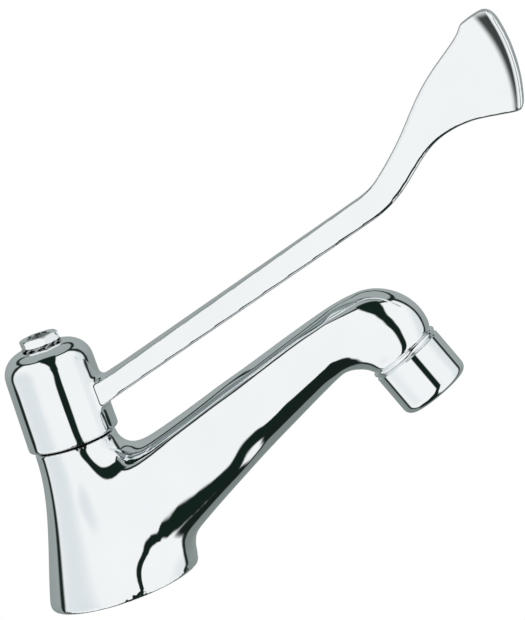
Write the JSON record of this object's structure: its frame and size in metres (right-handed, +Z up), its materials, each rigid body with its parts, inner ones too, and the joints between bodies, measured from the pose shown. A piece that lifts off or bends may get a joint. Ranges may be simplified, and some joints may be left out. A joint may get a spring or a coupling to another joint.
{
  "type": "elbow lever tap",
  "caption": "Chrome pillar tap with a long elbow lever ending in a flat paddle, a bent spout with an aerator, a quarter-turn ceramic headpart and a threaded tail with deck fixings.",
  "frame": {"origin": "on the tap's axis at the level of the worktop, which is the underside of the round foot", "axes": "+Z up along the valve axis, +X along the spout and the closed lever, +Y to the left seen from behind the tap"},
  "size_m": [0.2032, 0.0518, 0.1974],
  "materials": {
    "chrome": "polished",
    "plated_steel": "satin",
    "raw_brass": "satin",
    "black_rubber": "matte",
    "grey_plastic": "matte",
    "white_plastic": "matte",
    "white_ceramic": "gloss"
  },
  "bodies": {
    "tap": {"body_casting": "chrome", "base_gasket": "black_rubber", "inlet_tail": "raw_brass", "tail_seal": "black_rubber", "deck_washer": "black_rubber", "deck_plate": "plated_steel", "back_nut": "raw_brass", "aerator_housing": "chrome", "aerator_seal": "black_rubber", "aerator_strainer": "grey_plastic", "aerator_jet_plate": "grey_plastic", "aerator_cup": "grey_plastic", "headpart_bonnet": "raw_brass", "bonnet_seal": "black_rubber", "seat_seal": "black_rubber", "fixed_disc": "white_ceramic", "slide_ring": "white_plastic"},
    "handle": {"lever": "chrome", "toothed_washer": "plated_steel", "lever_nut": "chrome", "spindle": "raw_brass", "spindle_o_ring_lower": "black_rubber", "spindle_o_ring_upper": "black_rubber", "spindle_clip": "plated_steel", "moving_disc": "white_ceramic"}
  },
  "joints": [
    {"name": "lever_turn", "type": "hinge", "parent": "tap", "child": "handle", "pos_m": [0, 0, 0], "axis": [0, 0, 1], "range_deg": [0, 90]}
  ]
}
